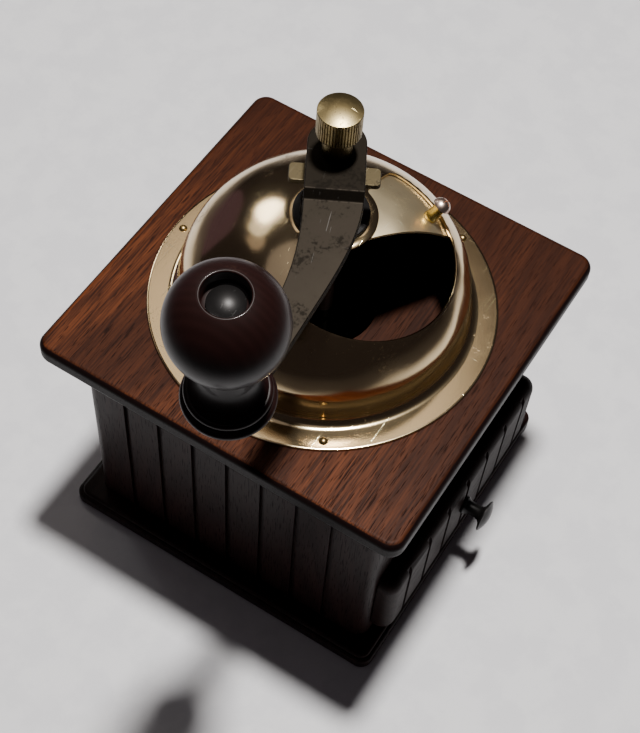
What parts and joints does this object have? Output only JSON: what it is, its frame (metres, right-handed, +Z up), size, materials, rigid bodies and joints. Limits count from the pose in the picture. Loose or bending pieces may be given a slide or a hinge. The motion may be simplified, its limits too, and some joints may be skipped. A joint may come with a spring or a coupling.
{
  "type": "hand crank coffee mill",
  "caption": "Box coffee mill with an open metal hopper dome, a turning hatch, a top crank with a ball grip, a conical burr set and a drawer.",
  "frame": {"origin": "centre of the base plate's underside, under the spindle", "axes": "+Z up along the spindle, -Y towards the drawer front, +X to the right seen from the drawer"},
  "size_m": [0.1698, 0.1447, 0.2215],
  "materials": {
    "top_wood": "red-brown open-grained wood, clear lacquer, with a black-brown lacquered edge",
    "dark_wood": "black-brown satin lacquer over wood",
    "bare_wood": "unfinished light wood",
    "brass": "polished brass-plated sheet, lightly worn",
    "worn_steel": "dull grey steel with fine scratches",
    "bright_steel": "plain bright steel",
    "black_steel": "black oxide",
    "cast_iron": "dark cast iron",
    "grip_wood": "glossy dark brown lacquer"
  },
  "bodies": {
    "box": {"base_plate": "dark_wood", "left_panel": "dark_wood", "right_panel": "dark_wood", "back_panel": "dark_wood", "front_rail": "dark_wood", "drawer_guides": "bare_wood", "top_plate": "top_wood", "dome": "brass", "dome_nails": "brass", "upper_bush": "black_steel", "hatch_washer": "worn_steel", "burr_housing": "cast_iron", "housing_screws": "bright_steel", "outer_burr": "cast_iron", "lower_bridge": "worn_steel", "bridge_screws": "bright_steel", "lower_bush": "brass", "base_screws": "bright_steel"},
    "drawer": {"drawer_front": "dark_wood", "drawer_left": "bare_wood", "drawer_right": "bare_wood", "drawer_back": "bare_wood", "drawer_bottom": "bare_wood", "drawer_pull": "black_steel", "pull_screw": "bright_steel"},
    "hatch": {"hatch": "brass", "hatch_post": "brass", "hatch_screw": "bright_steel"},
    "crank": {"spindle": "bright_steel", "inner_burr": "cast_iron", "burr_pin": "bright_steel", "burr_spring": "bright_steel", "lock_plate": "worn_steel", "crank_arm": "worn_steel", "cap_nut": "brass", "grip_rivet": "black_steel"},
    "adjuster": {"adjusting_nut": "black_steel"},
    "grip": {"grip_knob": "grip_wood"}
  },
  "joints": [
    {"name": "crank_turn", "type": "hinge", "parent": "box", "child": "crank", "pos_m": [0, 0, 0.15], "axis": [0, 0, -1], "continuous": true},
    {"name": "grip_spin", "type": "hinge", "parent": "crank", "child": "grip", "pos_m": [-0.08185, -0.01736, 0.16534], "axis": [-0.1066, -0.0591, 0.9925], "continuous": true},
    {"name": "grind_adjust", "type": "hinge", "parent": "crank", "child": "adjuster", "pos_m": [0, 0, 0.15], "axis": [0, 0, 1], "range_deg": [-180, 180]},
    {"name": "hatch_turn", "type": "hinge", "parent": "box", "child": "hatch", "pos_m": [0, 0, 0.147], "axis": [0, 0, 1], "range_deg": [-109, 16]},
    {"name": "drawer_slide", "type": "slide", "parent": "box", "child": "drawer", "axis": [0, -1, 0], "range_m": [0, 0.09]}
  ]
}
